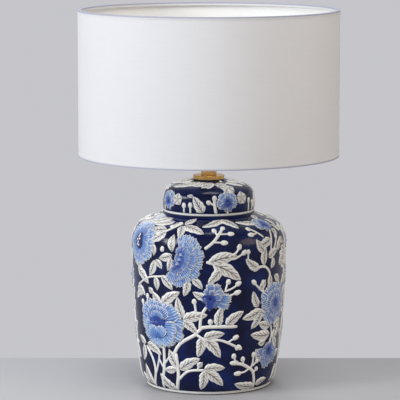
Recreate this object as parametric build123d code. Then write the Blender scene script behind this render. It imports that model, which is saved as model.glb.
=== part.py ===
from build123d import *
import math
import os

# A table lamp made from a lidded ginger jar: a hollow glazed jar and its lid,
# clamped together by one threaded tube, which carries a brass neck, a switched
# screw lampholder, a drum shade on a wire carrier and a screw-in lamp bulb.
#
# Millimetres. Heights count up from the table top and radii count from the
# upright axis. The front is -Y and the cord inlet is at the back, +Y.

# ---- Clearances -----------------------------------------------------------
running_fit = 0.05          # radial gap of a tube, pin or thread in its bore
loose_fit = 0.3             # gap round a piece that slides or turns freely
drill_fit = 0.5             # radial gap of the tube in a drilled ceramic hole

# ---- Jar ------------------------------------------------------------------
felt_thickness = 1.5
felt_setback = 1.0          # the felt stops this far inside both foot edges
foot_radius = 96.0
foot_width = 11.0
foot_band_height = 4.0      # bare band between the table felt and the glaze
jar_radius = 117.7
jar_wall = 6.0
lower_round_radius = 44.0
lower_round_top = 26.0
belly_radius = 1400.0
belly_top = 212.0
shoulder_bottom = 225.0
shoulder_radius = 35.0
shoulder_turn = 72.0        # degrees, from upright
seat_radius = 70.5
seat_height = 269.2
mouth_wall = 8.0
mouth_height = 15.0
recess_depth = 22.5
floor_thickness = 8.0

# ---- Lid ------------------------------------------------------------------
lid_gasket_thickness = 0.8
lid_radius = 69.5
lid_wall = 6.0
lid_fit = 1.5               # radial play of the lid round the jar's mouth
lid_band_height = 4.5
lid_band_proud = 0.3
lid_groove_depth = 0.8
lid_groove_height = 0.8
lid_side_height = 22.0
lid_round_radius = 19.0
lid_round_turn = 72.0       # degrees, from upright
lid_pad_radius = 27.0
lid_pad_rise = 0.6

# ---- Clamp tube and its nuts ----------------------------------------------
tube_radius = 5.0
tube_bore_radius = 3.75
tube_end_length = 2.5       # tube that stands out below the base nut
base_nut_flats = 17.0
base_nut_height = 6.0
base_washer_radius = 20.0
base_washer_thickness = 2.0
base_gasket_radius = 22.0
base_gasket_thickness = 1.5
check_nut_flats = 14.0
check_nut_height = 5.0

# ---- Cord inlet -----------------------------------------------------------
inlet_height = 14.0
inlet_bore_radius = 3.5
grommet_wall = 1.2
grommet_flange_radius = 6.6
grommet_flange_thickness = 2.0
grommet_flange_reach = 100.6    # outer face of the flange, from the axis
grommet_lip_thickness = 1.2
grommet_lip_overhang = 1.0

# ---- Brass neck -----------------------------------------------------------
neck_gasket_thickness = 0.8
neck_gasket_setback = 1.1
collar_radius = 24.1
collar_height = 5.9
collar_edge = 0.8
stem_radius = 12.0
stem_height = 24.7
stem_wall = 2.5

# ---- Lampholder -----------------------------------------------------------
cup_radius = 20.5
cup_wall = 1.5
cup_height = 17.0
cup_round_radius = 6.0
cup_neck_radius = 9.0
cup_neck_height = 6.0
tube_top_reach = 1.0        # tube that stands up past the cup's floor
grub_screw_radius = 1.5
grub_socket_flats = 1.5
grub_socket_depth = 1.2
switch_bar_width = 6.0
switch_bar_height = 5.0
switch_bar_drop = 6.0       # from the top of the cup to the bar's middle
switch_bar_proud = 8.0      # on the side that is pushed
switch_travel = 6.0
switch_bar_edge = 1.2
block_radius = 18.6
block_bottom_gap = 1.4
block_top_drop = 0.5
wire_way_radius = 5.5
skirt_wall = 2.3
skirt_lower_height = 9.0
skirt_thread_radius = 19.75
skirt_thread_height = 24.0
shoulder_flange_radius = 25.0
shoulder_flange_height = 2.0
core_height = 8.0
core_fit = 0.2
terminal_radius = 16.0      # where the terminal screws stand
terminal_head_radius = 1.8
terminal_head_height = 1.8
terminal_shank_radius = 1.2
terminal_shank_length = 6.0
terminal_slot_width = 0.6
terminal_slot_depth = 0.8
terminal_angles = (45.0, 225.0)
shell_wall = 0.5
shell_height = 23.5
shell_floor_hole = 8.0
contact_strip = 0.6
contact_width = 6.0
contact_length = 13.0

# ---- Bulb -----------------------------------------------------------------
bulb_tip_height = 2.0
bulb_tip_radius = 4.8
bulb_tip_rise = 5.0         # lowest point above the top of the holder's core
insulator_height = 4.5
insulator_radius = 11.5
insulator_foot_radius = 7.5
cap_radius = 13.05          # standard E27 screw cap
cap_height = 20.5
cap_collar_radius = 13.6
cap_collar_height = 3.0
shell_fit = 0.27            # radial play of the cap in the screw shell
bulb_length = 108.0
globe_radius = 30.0
globe_wall = 1.5
globe_cut_drop = 16.5       # from the globe's middle down to the housing
housing_foot_radius = 14.0
housing_bulge = 2.2

# ---- Shade ----------------------------------------------------------------
shade_radius = 200.0
shade_height = 223.0
shade_drop = 26.0           # from the holder's shoulder down to the shade's edge
trim_thickness = 0.4
trim_height = 4.0
trim_inner_height = 5.0
cover_thickness = 0.6
lining_thickness = 1.0
ring_wire_radius = 1.6
wire_fit = 0.1
hub_bore_radius = 21.2
hub_radius = 30.0
hub_thickness = 1.5
arm_wire_radius = 1.5
arm_start_inset = 2.0
arm_level_length = 20.0
arm_foot_length = 18.0
arm_bend_radius = 12.0
arm_angles = (90.0, 210.0, 330.0)

# ---- Shade ring and washer ------------------------------------------------
washer_thickness = 0.8
washer_radius = 26.5
ring_height = 9.0
ring_grip_radius = 24.5
ring_flange_height = 1.5
ring_rib_radius = 0.9
ring_rib_count = 24

# ---- Levels worked out from the sizes above -------------------------------
foot_bottom = felt_thickness
foot_top = foot_bottom + foot_band_height
recess_radius = foot_radius - foot_width
floor_bottom = foot_bottom + recess_depth
floor_top = floor_bottom + floor_thickness
lid_inner_radius = lid_radius - lid_wall
mouth_radius = lid_inner_radius - lid_fit
mouth_inner_radius = mouth_radius - mouth_wall
mouth_top = seat_height + mouth_height
lid_bottom = seat_height + lid_gasket_thickness
tube_hole_radius = tube_radius + drill_fit
tube_fit_radius = tube_radius + running_fit
base_gasket_bottom = floor_bottom - base_gasket_thickness
base_washer_bottom = base_gasket_bottom - base_washer_thickness
base_nut_bottom = base_washer_bottom - base_nut_height
tube_bottom = base_nut_bottom - tube_end_length

lid_round_middle = lid_bottom + lid_side_height
lid_round_angle = math.radians(lid_round_turn)
lid_dome_edge = lid_radius - lid_round_radius * (1 - math.cos(lid_round_angle))
lid_dome_radius = lid_dome_edge / math.cos(lid_round_angle)
lid_dome_foot = lid_round_middle + lid_round_radius * math.sin(lid_round_angle)
lid_dome_middle = lid_dome_foot - lid_dome_radius * math.sin(lid_round_angle)
lid_pad_foot = lid_dome_middle + math.sqrt(lid_dome_radius**2 - lid_pad_radius**2)
lid_top = lid_pad_foot + lid_pad_rise

collar_bottom = lid_top + neck_gasket_thickness
collar_top = collar_bottom + collar_height
stem_top = collar_top + stem_height
cup_floor = stem_top + cup_neck_height
cup_top = cup_floor + cup_height
tube_top = cup_floor + cup_wall + tube_top_reach
switch_bar_middle = cup_top - switch_bar_drop
shoulder_top = cup_top + skirt_lower_height
skirt_top = shoulder_top + skirt_thread_height
skirt_inner_radius = cup_radius - skirt_wall
core_bottom = cup_top - block_top_drop
core_top = core_bottom + core_height
shell_inner_radius = cap_radius + shell_fit

bulb_bottom = core_top + bulb_tip_rise
bulb_top = bulb_bottom + bulb_length
globe_middle = bulb_top - globe_radius
globe_cut = globe_middle - globe_cut_drop
globe_cut_radius = math.sqrt(globe_radius**2 - globe_cut_drop**2)
insulator_bottom = bulb_bottom + bulb_tip_height
cap_bottom = insulator_bottom + insulator_height
housing_bottom = cap_bottom + cap_height

shade_bottom = shoulder_top - shade_drop
shade_top = shade_bottom + shade_height
cover_radius = shade_radius - trim_thickness
lining_radius = cover_radius - cover_thickness
lining_inner_radius = lining_radius - lining_thickness
ring_wire_reach = lining_inner_radius - wire_fit - ring_wire_radius
trim_inner_radius = ring_wire_reach - ring_wire_radius - wire_fit
bottom_wire_height = shade_bottom + trim_thickness + wire_fit + ring_wire_radius
top_wire_height = shade_top - trim_thickness - wire_fit - ring_wire_radius
washer_bottom = shoulder_top + hub_thickness
ring_bottom = washer_bottom + washer_thickness


# ---- Helpers --------------------------------------------------------------
def turned(outline):
    """Turns a closed outline, drawn as (radius, height), about the upright axis."""
    return revolve(Plane.XZ * make_face(outline), Axis.Z)


def turned_points(points):
    """Turns a closed outline of straight runs."""
    return turned(Polyline(*points, close=True).edges())


def ring(inner, outer, bottom, top):
    """A plain ring or washer."""
    return turned_points([(inner, bottom), (outer, bottom), (outer, top), (inner, top)])


def arc_point(middle, radius, angle):
    """Point of a circle at an angle in degrees, from straight out to straight up."""
    turn = math.radians(angle)
    return (middle[0] + radius * math.cos(turn), middle[1] + radius * math.sin(turn))


def arc(middle, radius, start, end):
    """Arc between two angles, in the plane of an outline."""
    return CenterArc(middle, radius, start, end - start)


def bar(start, end, width, height):
    """Square bar along X, centred on the axis, between two places along X."""
    length = end - start
    return Pos((start + end) / 2, 0, 0) * Box(length, width, height)


def around(shape, angles):
    """Copies of a shape, turned to each of the angles."""
    return [Rot(0, 0, angle) * shape for angle in angles]


# ---- Jar ------------------------------------------------------------------
belly_middle = (jar_radius - belly_radius, belly_top)
shoulder_middle = (jar_radius - shoulder_radius, shoulder_bottom)
lower_joint_angle = -math.degrees(math.asin((belly_top - lower_round_top) / belly_radius))
lower_joint = arc_point(belly_middle, belly_radius, lower_joint_angle)
lower_middle = arc_point(lower_joint, -lower_round_radius, lower_joint_angle)


def angle_at(middle, radius, height):
    """Angle, in degrees, at which a circle reaches a height."""
    return math.degrees(math.asin((height - middle[1]) / radius))


def slope_point(inset, reach):
    """Point at a radius on the sloping top of the jar, moved inwards by inset."""
    start = arc_point(shoulder_middle, shoulder_radius - inset, shoulder_turn)
    fall = math.tan(math.radians(90 - shoulder_turn))
    return (reach, start[1] + (start[0] - reach) * fall)


def jar_side(inset, bottom, reach):
    """Edges of the jar's side, moved inwards by inset, from a height up to a radius."""
    edges = []
    lower_radius = lower_round_radius - inset
    side_radius = belly_radius - inset
    if bottom < lower_joint[1] - inset:
        start_angle = angle_at(lower_middle, lower_radius, bottom)
        edges.append(arc(lower_middle, lower_radius, start_angle, lower_joint_angle))
        edges.append(arc(belly_middle, side_radius, lower_joint_angle, 0))
    else:
        start_angle = angle_at(belly_middle, side_radius, bottom)
        edges.append(arc(belly_middle, side_radius, start_angle, 0))
    side = jar_radius - inset
    edges.append(Line((side, belly_top), (side, shoulder_bottom)))
    edges.append(arc(shoulder_middle, shoulder_radius - inset, 0, shoulder_turn))
    edges.append(Line(edges[-1] @ 1, slope_point(inset, reach)))
    return edges


def make_jar_body():
    """Hollow jar: bare foot ring, deep recess under its floor, upright mouth."""
    outside = jar_side(0, foot_top, seat_radius)
    inside = jar_side(jar_wall, floor_top, mouth_inner_radius)
    top = [
        outside[-1] @ 1,
        (seat_radius, seat_height),
        (mouth_radius, seat_height),
        (mouth_radius, mouth_top),
        (mouth_inner_radius, mouth_top),
        inside[-1] @ 1,
    ]
    foot = [
        inside[0] @ 0,
        (tube_hole_radius, floor_top),
        (tube_hole_radius, floor_bottom),
        (recess_radius, floor_bottom),
        (recess_radius, foot_bottom),
        (foot_radius, foot_bottom),
        (foot_radius, foot_top),
        outside[0] @ 0,
    ]
    edges = outside + inside + Polyline(*top).edges() + Polyline(*foot).edges()
    body = turned(edges)
    return body - inlet_hole()


def inlet_hole():
    """Drilled cord hole through the back of the foot ring, with a spot face."""
    drill = inlet_bore_radius + grommet_wall + running_fit
    hole = inlet_cylinder(drill, recess_radius - foot_width, foot_radius + foot_width)
    flange_face = grommet_flange_reach - grommet_flange_thickness
    spot = grommet_flange_radius + loose_fit
    face = inlet_cylinder(spot, flange_face, jar_radius)
    return hole + face


def inlet_cylinder(radius, near, far):
    """Cylinder on the cord inlet's axis, between two distances behind the lamp's axis."""
    place = Plane(origin=(0, near, inlet_height), z_dir=(0, 1, 0))
    return place * Cylinder(radius, far - near, align=(Align.CENTER, Align.CENTER, Align.MIN))


def make_foot_felt():
    """Felt ring glued under the foot."""
    inner = recess_radius + felt_setback
    return ring(inner, foot_radius - felt_setback, 0, felt_thickness)


def make_cord_grommet():
    """Rubber bush that lines the cord hole, with a flange outside and a lip inside."""
    sleeve = inlet_bore_radius + grommet_wall
    flange_face = grommet_flange_reach - grommet_flange_thickness
    lip_radius = sleeve + grommet_lip_overhang
    lip_face = math.sqrt(recess_radius**2 - lip_radius**2)
    bush = inlet_cylinder(sleeve, lip_face, flange_face)
    bush += inlet_cylinder(grommet_flange_radius, flange_face, grommet_flange_reach)
    bush += inlet_cylinder(lip_radius, lip_face - grommet_lip_thickness, lip_face)
    bore_start = lip_face - 2 * grommet_lip_thickness
    bore_end = grommet_flange_reach + grommet_flange_thickness
    return bush - inlet_cylinder(inlet_bore_radius, bore_start, bore_end)


# ---- Lid ------------------------------------------------------------------
def lid_top_edges(inset):
    """Round and dome of the lid, moved inwards by inset, out to the wall."""
    round_middle = (lid_radius - lid_round_radius, lid_round_middle)
    dome_middle = (0, lid_dome_middle)
    dome_radius = lid_dome_radius - inset
    if inset > 0:
        reach = tube_hole_radius
    else:
        reach = lid_pad_radius
    dome_end = math.degrees(math.acos(reach / dome_radius))
    round_edge = arc(round_middle, lid_round_radius - inset, 0, lid_round_turn)
    dome_edge = arc(dome_middle, dome_radius, lid_round_turn, dome_end)
    return [round_edge, dome_edge]


def make_jar_lid():
    """Cap lid with a raised bare rim band and a small flat pad for the brass neck."""
    band_radius = lid_radius + lid_band_proud
    groove_radius = lid_radius - lid_groove_depth
    band_top = lid_bottom + lid_band_height
    groove_top = band_top + lid_groove_height
    outside = lid_top_edges(0)
    inside = lid_top_edges(lid_wall)
    side = [
        inside[0] @ 0,
        (lid_inner_radius, lid_bottom),
        (band_radius, lid_bottom),
        (band_radius, band_top),
        (groove_radius, band_top),
        (groove_radius, groove_top),
        (lid_radius, groove_top + lid_groove_depth),
        outside[0] @ 0,
    ]
    pad = [
        outside[1] @ 1,
        (lid_pad_radius, lid_top),
        (tube_hole_radius, lid_top),
        inside[1] @ 1,
    ]
    return turned(outside + inside + Polyline(*side).edges() + Polyline(*pad).edges())


def make_lid_gasket():
    """Thin seal between the jar's seat and the lid's rim."""
    return ring(mouth_radius + loose_fit, lid_radius, seat_height, lid_bottom)


# ---- Clamp tube, nuts and washers -----------------------------------------
def hex_nut(flats, bottom, height):
    """Hexagon nut on the clamp tube, with chamfered corners."""
    corner = flats / math.sqrt(3)
    blank = Pos(0, 0, bottom) * extrude(RegularPolygon(corner, 6), height)
    chamfer_drop = (corner - flats / 2) * math.tan(math.radians(30))
    outline = [
        (0, bottom),
        (flats / 2, bottom),
        (corner, bottom + chamfer_drop),
        (corner, bottom + height - chamfer_drop),
        (flats / 2, bottom + height),
        (0, bottom + height),
    ]
    return (blank & turned_points(outline)) - ring(0, tube_fit_radius, bottom, bottom + height)


def make_threaded_tube():
    """Threaded tube that clamps base, jar, lid and neck, and carries the wires."""
    return ring(tube_bore_radius, tube_radius, tube_bottom, tube_top)


def make_base_gasket():
    return ring(tube_hole_radius, base_gasket_radius, base_gasket_bottom, floor_bottom)


def make_base_washer():
    return ring(tube_fit_radius, base_washer_radius, base_washer_bottom, base_gasket_bottom)


def make_base_nut():
    return hex_nut(base_nut_flats, base_nut_bottom, base_nut_height)


def make_check_nut():
    return hex_nut(check_nut_flats, collar_top, check_nut_height)


# ---- Brass neck -----------------------------------------------------------
def make_neck_gasket():
    outer = collar_radius - neck_gasket_setback
    return ring(tube_hole_radius, outer, lid_top, collar_bottom)


def make_neck_collar():
    """Turned brass disc on the lid, with its edges eased."""
    disc = ring(tube_fit_radius, collar_radius, collar_bottom, collar_top)
    rims = disc.edges().filter_by(GeomType.CIRCLE).group_by(SortBy.RADIUS)[-1]
    return fillet(rims, collar_edge)


def make_neck_stem():
    """Brass spacer tube with a closed top, standing over the check nut."""
    inner = stem_radius - stem_wall
    return turned_points(
        [
            (inner, collar_top),
            (stem_radius, collar_top),
            (stem_radius, stem_top),
            (tube_fit_radius, stem_top),
            (tube_fit_radius, stem_top - stem_wall),
            (inner, stem_top - stem_wall),
        ]
    )


# ---- Lampholder -----------------------------------------------------------
def make_holder_cup():
    """Turned brass cup with a threaded neck and two slots for the switch bar."""
    round_middle = (cup_radius - cup_round_radius, cup_floor + cup_round_radius)
    outer_round = arc(round_middle, cup_round_radius, -90, 0)
    inner_round = arc(round_middle, cup_round_radius - cup_wall, -90, 0)
    outside = [
        (tube_fit_radius, cup_floor + cup_wall),
        (tube_fit_radius, stem_top),
        (cup_neck_radius, stem_top),
        (cup_neck_radius, cup_floor),
        outer_round @ 0,
    ]
    rim = [
        outer_round @ 1,
        (cup_radius, cup_top),
        (cup_radius - cup_wall, cup_top),
        inner_round @ 1,
    ]
    floor = Line(inner_round @ 0, (tube_fit_radius, cup_floor + cup_wall))
    edges = [outer_round, inner_round, floor]
    cup = turned(edges + Polyline(*outside).edges() + Polyline(*rim).edges())
    return cup - switch_slot(cup_radius) - grub_screw_hole()


def switch_slot(reach):
    """Cutter for the switch bar's way through a wall or block, on both sides."""
    width = switch_bar_width + 2 * loose_fit
    height = switch_bar_height + 2 * loose_fit
    return Pos(0, 0, switch_bar_middle) * bar(-reach - cup_wall, reach + cup_wall, width, height)


def grub_cylinder(radius, near, far):
    """Cylinder on the grub screw's axis, at the back of the cup's neck."""
    height = (stem_top + cup_floor) / 2
    place = Plane(origin=(0, near, height), z_dir=(0, 1, 0))
    return place * Cylinder(radius, far - near, align=(Align.CENTER, Align.CENTER, Align.MIN))


def grub_screw_hole():
    return grub_cylinder(grub_screw_radius + running_fit, tube_radius, cup_neck_radius + cup_wall)


def make_grub_screw():
    """Socket grub screw that locks the cup on the tube."""
    screw = grub_cylinder(grub_screw_radius, tube_fit_radius, cup_neck_radius)
    height = (stem_top + cup_floor) / 2
    socket_floor = cup_neck_radius - grub_socket_depth
    place = Plane(origin=(0, socket_floor, height), z_dir=(0, 1, 0))
    socket = extrude(RegularPolygon(grub_socket_flats / math.sqrt(3), 6), grub_socket_depth)
    return screw - place * socket


def make_switch_bar():
    """Push-through bar, proud of the cup on the side that is pushed next."""
    far_side = cup_radius + switch_bar_proud - switch_travel
    near_side = -cup_radius - switch_bar_proud
    shape = bar(near_side, far_side, switch_bar_width, switch_bar_height)
    shape = fillet(shape.edges().filter_by(Axis.X), switch_bar_edge)
    ends = shape.faces().filter_by(Axis.X).edges()
    shape = chamfer(ends, switch_bar_edge / 2)
    return Pos(0, 0, switch_bar_middle) * shape


def make_switch_block():
    """Insulating block under the holder's core, which guides the switch bar."""
    bottom = cup_floor + cup_wall + block_bottom_gap
    block = ring(wire_way_radius, block_radius, bottom, core_bottom)
    corner = cup_round_radius - cup_wall
    lowest = block.edges().filter_by(GeomType.CIRCLE).group_by(Axis.Z)[0]
    outer = lowest.sort_by(SortBy.RADIUS)[-1]
    return fillet(outer, corner) - switch_slot(block_radius)


def make_holder_skirt():
    """Outer sleeve: plain below, a shoulder for the shade, a thread for its ring."""
    flange_bottom = shoulder_top - shoulder_flange_height
    return turned_points(
        [
            (skirt_inner_radius, cup_top),
            (cup_radius, cup_top),
            (cup_radius, flange_bottom),
            (shoulder_flange_radius, flange_bottom),
            (shoulder_flange_radius, shoulder_top),
            (skirt_thread_radius, shoulder_top),
            (skirt_thread_radius, skirt_top),
            (skirt_inner_radius, skirt_top),
        ]
    )


def terminal_places():
    """Places of the terminal screws, on the holder's core."""
    return [Rot(0, 0, angle) * Pos(terminal_radius, 0, 0) for angle in terminal_angles]


def make_holder_core():
    """Ceramic core that carries the screw shell, the contact and the terminals."""
    core = ring(wire_way_radius / 2, skirt_inner_radius - core_fit, core_bottom, core_top)
    drill = Pos(0, 0, core_top) * Cylinder(
        terminal_shank_radius + running_fit,
        terminal_shank_length,
        align=(Align.CENTER, Align.CENTER, Align.MAX),
    )
    return core - [place * drill for place in terminal_places()]


def make_terminal_screws():
    """Two slotted terminal screws, beside the screw shell."""
    shank = Pos(0, 0, core_top) * Cylinder(
        terminal_shank_radius,
        terminal_shank_length,
        align=(Align.CENTER, Align.CENTER, Align.MAX),
    )
    head = Pos(0, 0, core_top) * Cylinder(
        terminal_head_radius,
        terminal_head_height,
        align=(Align.CENTER, Align.CENTER, Align.MIN),
    )
    slot = Pos(0, 0, core_top + terminal_head_height) * Box(
        2 * terminal_head_radius, terminal_slot_width, 2 * terminal_slot_depth
    )
    screw = shank + head - slot
    return Compound(children=[place * screw for place in terminal_places()])


def make_screw_shell():
    """Metal screw shell with a holed floor."""
    outer = shell_inner_radius + shell_wall
    return turned_points(
        [
            (shell_floor_hole, core_top),
            (outer, core_top),
            (outer, core_top + shell_height),
            (shell_inner_radius, core_top + shell_height),
            (shell_inner_radius, core_top + shell_wall),
            (shell_floor_hole, core_top + shell_wall),
        ]
    )


def make_centre_contact():
    """Bent spring strip that meets the bulb's tip."""
    half = contact_length / 2
    pad = half / 3
    foot_top_level = core_top + contact_strip
    pad_bottom = bulb_bottom - contact_strip
    outline = [
        (-half, core_top),
        (-pad, core_top),
        (pad, pad_bottom),
        (half, pad_bottom),
        (half, bulb_bottom),
        (0, bulb_bottom),
        (-pad - contact_strip, foot_top_level),
        (-half, foot_top_level),
    ]
    strip = extrude(make_face(Polyline(*outline, close=True)), contact_width)
    return Plane.XZ * Pos(0, 0, -contact_width / 2) * strip


# ---- Bulb -----------------------------------------------------------------
def make_bulb_tip():
    """Soldered end contact, domed underneath."""
    tip = ring(0, bulb_tip_radius, bulb_bottom, insulator_bottom)
    lowest = tip.edges().filter_by(GeomType.CIRCLE).group_by(Axis.Z)[0]
    return fillet(lowest, bulb_tip_height / 2)


def make_bulb_insulator():
    return turned_points(
        [
            (0, insulator_bottom),
            (insulator_foot_radius, insulator_bottom),
            (insulator_radius, cap_bottom),
            (0, cap_bottom),
        ]
    )


def make_bulb_cap():
    collar_foot = housing_bottom - cap_collar_height
    return turned_points(
        [
            (0, cap_bottom),
            (cap_radius, cap_bottom),
            (cap_radius, collar_foot),
            (cap_collar_radius, collar_foot),
            (cap_collar_radius, housing_bottom),
            (0, housing_bottom),
        ]
    )


def make_bulb_housing():
    """Flared plastic housing between the cap and the opal globe."""
    middle_radius = (housing_foot_radius + globe_cut_radius) / 2 - housing_bulge
    middle = (middle_radius, (housing_bottom + globe_cut) / 2)
    flare = ThreePointArc((housing_foot_radius, housing_bottom), middle, (globe_cut_radius, globe_cut))
    foot = Polyline((0, globe_cut), (0, housing_bottom), (housing_foot_radius, housing_bottom))
    top = Line((0, globe_cut), (globe_cut_radius, globe_cut))
    return turned([flare, top] + foot.edges())


def make_bulb_globe():
    """Thin opal globe, open where it sits on the housing."""
    middle = (0, globe_middle)
    inner = globe_radius - globe_wall
    outer_start = -math.degrees(math.asin(globe_cut_drop / globe_radius))
    inner_start = -math.degrees(math.asin(globe_cut_drop / inner))
    outside = arc(middle, globe_radius, outer_start, 90)
    inside = arc(middle, inner, inner_start, 90)
    rim = Line(outside @ 0, inside @ 0)
    crown = Line(outside @ 1, inside @ 1)
    return turned([outside, inside, rim, crown])


# ---- Shade ----------------------------------------------------------------
def make_shade_cover():
    """Fabric drum."""
    return ring(
        lining_radius,
        cover_radius,
        shade_bottom + trim_thickness,
        shade_top - trim_thickness,
    )


def make_shade_lining():
    """Stiff white liner that the fabric is bonded to."""
    return ring(
        lining_inner_radius,
        lining_radius,
        shade_bottom + trim_thickness,
        shade_top - trim_thickness,
    )


def shade_trim(edge, inwards):
    """Rolled edge that wraps the fabric, the liner and the ring wire at one end.

    edge is the height of the shade's end, and inwards is 1 or -1, towards its middle.
    """
    web = edge + inwards * trim_thickness
    outer_end = edge + inwards * trim_height
    inner_end = edge + inwards * trim_inner_height
    return turned_points(
        [
            (shade_radius, outer_end),
            (shade_radius, edge),
            (trim_inner_radius - trim_thickness, edge),
            (trim_inner_radius - trim_thickness, inner_end),
            (trim_inner_radius, inner_end),
            (trim_inner_radius, web),
            (cover_radius, web),
            (cover_radius, outer_end),
        ]
    )


def make_shade_trim_bottom():
    """Bottom rolled edge, notched where the carrier's arms reach their ring wire."""
    notch_radius = arm_wire_radius + loose_fit
    notch_bottom = bottom_wire_height - notch_radius
    notch_top = shade_bottom + trim_inner_height + loose_fit
    leg = trim_inner_radius - trim_thickness
    notch = Pos(leg - loose_fit, 0, notch_bottom) * Box(
        trim_thickness + 2 * loose_fit,
        2 * notch_radius,
        notch_top - notch_bottom,
        align=(Align.MIN, Align.CENTER, Align.MIN),
    )
    return shade_trim(shade_bottom, 1) - around(notch, arm_angles)


def make_shade_top_wire():
    return Pos(0, 0, top_wire_height) * Torus(ring_wire_reach, ring_wire_radius)


def fitter_arm():
    """One wire arm along +X: level at the hub, then down to the bottom ring wire."""
    start = hub_radius - arm_start_inset
    level = shoulder_top + hub_thickness / 2
    route = FilletPolyline(
        (start, 0, level),
        (start + arm_level_length, 0, level),
        (ring_wire_reach - arm_foot_length, 0, bottom_wire_height),
        (ring_wire_reach, 0, bottom_wire_height),
        radius=arm_bend_radius,
    )
    section = Plane(origin=route @ 0, z_dir=route % 0) * Circle(arm_wire_radius)
    return sweep(section, path=route)


def make_shade_fitter():
    """Wire carrier: flat hub, three bent arms and the bottom ring wire, all welded."""
    carrier = ring(hub_bore_radius, hub_radius, shoulder_top, washer_bottom)
    carrier += Pos(0, 0, bottom_wire_height) * Torus(ring_wire_reach, ring_wire_radius)
    for arm in around(fitter_arm(), arm_angles):
        carrier += arm
    return carrier


def make_shade_washer():
    inner = skirt_thread_radius + loose_fit
    return ring(inner, washer_radius, washer_bottom, ring_bottom)


def make_shade_ring():
    """Ribbed ring that screws down on the shade's hub."""
    inner = skirt_thread_radius + running_fit
    ring_top = ring_bottom + ring_height
    flange_top = ring_bottom + ring_flange_height
    body = turned_points(
        [
            (inner, ring_bottom),
            (washer_radius, ring_bottom),
            (washer_radius, flange_top),
            (ring_grip_radius, flange_top),
            (ring_grip_radius, ring_top),
            (inner, ring_top),
        ]
    )
    rib = Pos(ring_grip_radius, 0, flange_top) * Cylinder(
        ring_rib_radius,
        ring_top - flange_top,
        align=(Align.CENTER, Align.CENTER, Align.MIN),
    )
    step = 360 / ring_rib_count
    return body + around(rib, [step * number for number in range(ring_rib_count)])


# ---- All pieces -----------------------------------------------------------
pieces = {
    "foot_felt": make_foot_felt(),
    "jar_body": make_jar_body(),
    "cord_grommet": make_cord_grommet(),
    "base_gasket": make_base_gasket(),
    "base_washer": make_base_washer(),
    "base_nut": make_base_nut(),
    "threaded_tube": make_threaded_tube(),
    "jar_lid": make_jar_lid(),
    "lid_gasket": make_lid_gasket(),
    "neck_gasket": make_neck_gasket(),
    "neck_collar": make_neck_collar(),
    "check_nut": make_check_nut(),
    "neck_stem": make_neck_stem(),
    "holder_cup": make_holder_cup(),
    "grub_screw": make_grub_screw(),
    "switch_bar": make_switch_bar(),
    "switch_block": make_switch_block(),
    "holder_skirt": make_holder_skirt(),
    "holder_core": make_holder_core(),
    "terminal_screws": make_terminal_screws(),
    "screw_shell": make_screw_shell(),
    "centre_contact": make_centre_contact(),
    "bulb_tip": make_bulb_tip(),
    "bulb_insulator": make_bulb_insulator(),
    "bulb_cap": make_bulb_cap(),
    "bulb_housing": make_bulb_housing(),
    "bulb_globe": make_bulb_globe(),
    "shade_cover": make_shade_cover(),
    "shade_lining": make_shade_lining(),
    "shade_trim_top": shade_trim(shade_top, -1),
    "shade_trim_bottom": make_shade_trim_bottom(),
    "shade_top_wire": make_shade_top_wire(),
    "shade_fitter": make_shade_fitter(),
    "shade_washer": make_shade_washer(),
    "shade_ring": make_shade_ring(),
}

os.makedirs("parts", exist_ok=True)
for name, shape in pieces.items():
    export_step(shape, f"parts/{name}.step")

print(f"{len(pieces)} pieces, {2 * shade_radius:.1f} mm wide, {shade_top:.1f} mm high")
print(f"lid bottom {lid_bottom:.2f}, lid top {lid_top:.2f}, collar top {collar_top:.2f}")
print(f"shade {shade_bottom:.2f} to {shade_top:.2f}, bulb {bulb_bottom:.2f} to {bulb_top:.2f}")
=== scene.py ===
# %% [markdown]
# # A ginger jar table lamp
# A lidded jar with raised flowers under a dark glaze, a brass neck and a drum shade.
# The metal, the jar's walls and the shade's frame were drawn in CAD. This lesson loads
# them as a fixed frame, and adds what CAD leaves out: the flowers, the cloth and the finishes.

# %% Load the lamp
from math import cos, degrees, hypot, pi, radians, sin

import bmesh
import bpy
import numpy as np
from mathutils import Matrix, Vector


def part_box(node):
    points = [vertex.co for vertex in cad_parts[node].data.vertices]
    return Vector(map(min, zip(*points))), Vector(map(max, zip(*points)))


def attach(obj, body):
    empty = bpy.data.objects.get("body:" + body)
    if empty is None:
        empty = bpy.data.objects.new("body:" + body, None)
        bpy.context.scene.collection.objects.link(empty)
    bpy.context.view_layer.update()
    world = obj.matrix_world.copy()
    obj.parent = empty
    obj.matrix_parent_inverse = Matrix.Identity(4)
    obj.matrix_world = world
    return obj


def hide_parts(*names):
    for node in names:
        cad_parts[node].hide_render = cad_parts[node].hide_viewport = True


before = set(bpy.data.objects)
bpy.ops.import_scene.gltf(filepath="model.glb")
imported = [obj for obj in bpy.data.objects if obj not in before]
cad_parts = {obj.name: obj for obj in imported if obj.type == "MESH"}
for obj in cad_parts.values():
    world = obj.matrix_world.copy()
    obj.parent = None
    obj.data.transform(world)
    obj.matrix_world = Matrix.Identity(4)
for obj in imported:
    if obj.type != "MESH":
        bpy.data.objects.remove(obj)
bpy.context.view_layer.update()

scene = bpy.context.scene

# %% [markdown]
# ## The camera
# The photograph looks as if it was taken from over 3 m away with a long lens, from a little
# above the lamp. A camera tipped down at the lamp needs no shift, so every other view stays
# centred too.

# %% Place the camera
camera_place = (-0.0135, -3.6155, 0.7874)
tipped_down = 7.912
lens_mm = 213.5
camera_data = bpy.data.cameras.new("camera")
camera = bpy.data.objects.new("camera", camera_data)
scene.collection.objects.link(camera)
camera.location = camera_place
camera.rotation_euler = (radians(90 - tipped_down), 0, 0)
camera_data.sensor_width = 36
camera_data.lens = lens_mm
camera_data.clip_end = 50
scene.camera = camera

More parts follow.
